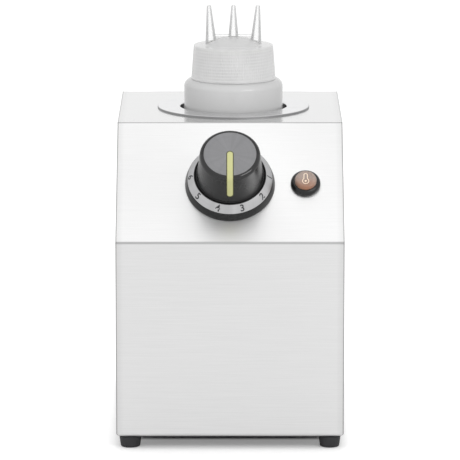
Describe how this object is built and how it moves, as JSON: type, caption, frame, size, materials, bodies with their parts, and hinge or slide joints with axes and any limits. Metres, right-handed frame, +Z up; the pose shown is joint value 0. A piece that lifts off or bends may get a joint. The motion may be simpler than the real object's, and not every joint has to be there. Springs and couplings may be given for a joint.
{
  "type": "topping warmer",
  "caption": "Counter-top hot fudge warmer: a stainless case with a sloping dial face and pilot lamp, and a heated dry well that holds a squeeze bottle with a nozzle cap.",
  "frame": {"origin": "centre of the bounding box's bottom face, in the plane that the feet stand on", "axes": "+X to the right seen from the front, -Y out of the front panel, +Z up"},
  "size_m": [0.18, 0.2736, 0.332],
  "materials": {
    "case_steel": "fine even brushed stainless sheet",
    "base_steel": "plain mill finish sheet",
    "well_steel": "bright drawn stainless pot",
    "heater_steel": "heat tinted band sheath",
    "plated_steel": "bright plated hardware",
    "glass_wool": "pale glass wool sleeve",
    "bakelite": "dark moulded body",
    "ceramic_cream": "cream moulded body",
    "copper": "drawn copper, dull",
    "black_gloss": "glossy black moulding",
    "silver_foil": "satin silver band with dark numerals",
    "pointer_cream": "pale yellow inlay",
    "lens_amber": "smoky rose amber lens",
    "nylon_white": "white nylon",
    "nylon_black": "black nylon",
    "neon_glass": "clear glass envelope",
    "terminal_brass": "plain brass",
    "foot_rubber": "black rubber",
    "wire_brown": "wire sheath",
    "wire_black": "wire sheath",
    "wire_blue": "wire sheath",
    "wire_green": "wire sheath",
    "wire_white": "wire sheath",
    "bottle_plastic": "milky translucent squeeze bottle",
    "cap_plastic": "milky translucent cap",
    "liner_foam": "soft white washer"
  },
  "bodies": {
    "case": {"housing_wrap": "case_steel", "side_panel_left": "case_steel", "side_panel_right": "case_steel", "back_panel": "case_steel", "base_plate": "base_steel", "feet": "foot_rubber", "foot_screws": "plated_steel", "foot_nuts": "plated_steel", "base_screws": "plated_steel", "back_screws": "plated_steel", "well_pot": "well_steel", "well_nuts": "plated_steel", "heater_band": "heater_steel", "heater_clamp": "plated_steel", "insulation_sleeve": "glass_wool", "insulation_straps": "plated_steel", "thermal_cutout": "bakelite", "cutout_bracket": "plated_steel", "cutout_nuts": "plated_steel", "thermostat_body": "ceramic_cream", "thermostat_plate": "plated_steel", "thermostat_screws": "plated_steel", "capillary_tube": "copper", "sensing_bulb": "copper", "bulb_clip": "plated_steel", "dial_bezel": "black_gloss", "dial_band": "silver_foil", "lamp_bezel": "black_gloss", "lamp_lens": "lens_amber", "lamp_body": "nylon_white", "lamp_nut": "nylon_black", "lamp_neon": "neon_glass", "terminal_block": "ceramic_cream", "terminal_screws": "terminal_brass", "cable_gland": "nylon_black", "gland_nut": "nylon_black", "gland_locknut": "nylon_black", "earth_stud": "terminal_brass", "wire_live": "wire_brown", "wire_switched": "wire_black", "wire_heater": "wire_black", "wire_neutral": "wire_blue", "wire_earth": "wire_green", "lamp_leads": "wire_white"},
    "dial_knob": {"thermostat_spindle": "plated_steel", "knob": "black_gloss", "pointer_insert": "pointer_cream", "knob_spring": "plated_steel"},
    "bottle": {"bottle": "bottle_plastic"},
    "liner": {"cap_liner": "liner_foam"},
    "cap": {"bottle_cap": "cap_plastic"}
  },
  "joints": [
    {"name": "dial_turn", "type": "hinge", "parent": "case", "child": "dial_knob", "pos_m": [0, -0.09196, 0.20574], "axis": [0, 0.7071, -0.7071], "range_deg": [-180, 90]},
    {"name": "bottle_lift", "type": "slide", "parent": "case", "child": "bottle", "axis": [0, 0, 1], "range_m": [0, 0.2]},
    {"name": "cap_rise", "type": "slide", "parent": "bottle", "child": "liner", "axis": [0, 0, 1], "range_m": [0, 0.0075]},
    {"name": "cap_turn", "type": "hinge", "parent": "liner", "child": "cap", "pos_m": [0.0028, 0.0308, 0.2485], "axis": [0, 0, 1], "range_deg": [0, 540]}
  ],
  "couplings": [
    {"joint": "cap_rise", "follows": "cap_turn", "m_per_rad": 0.00079577}
  ]
}
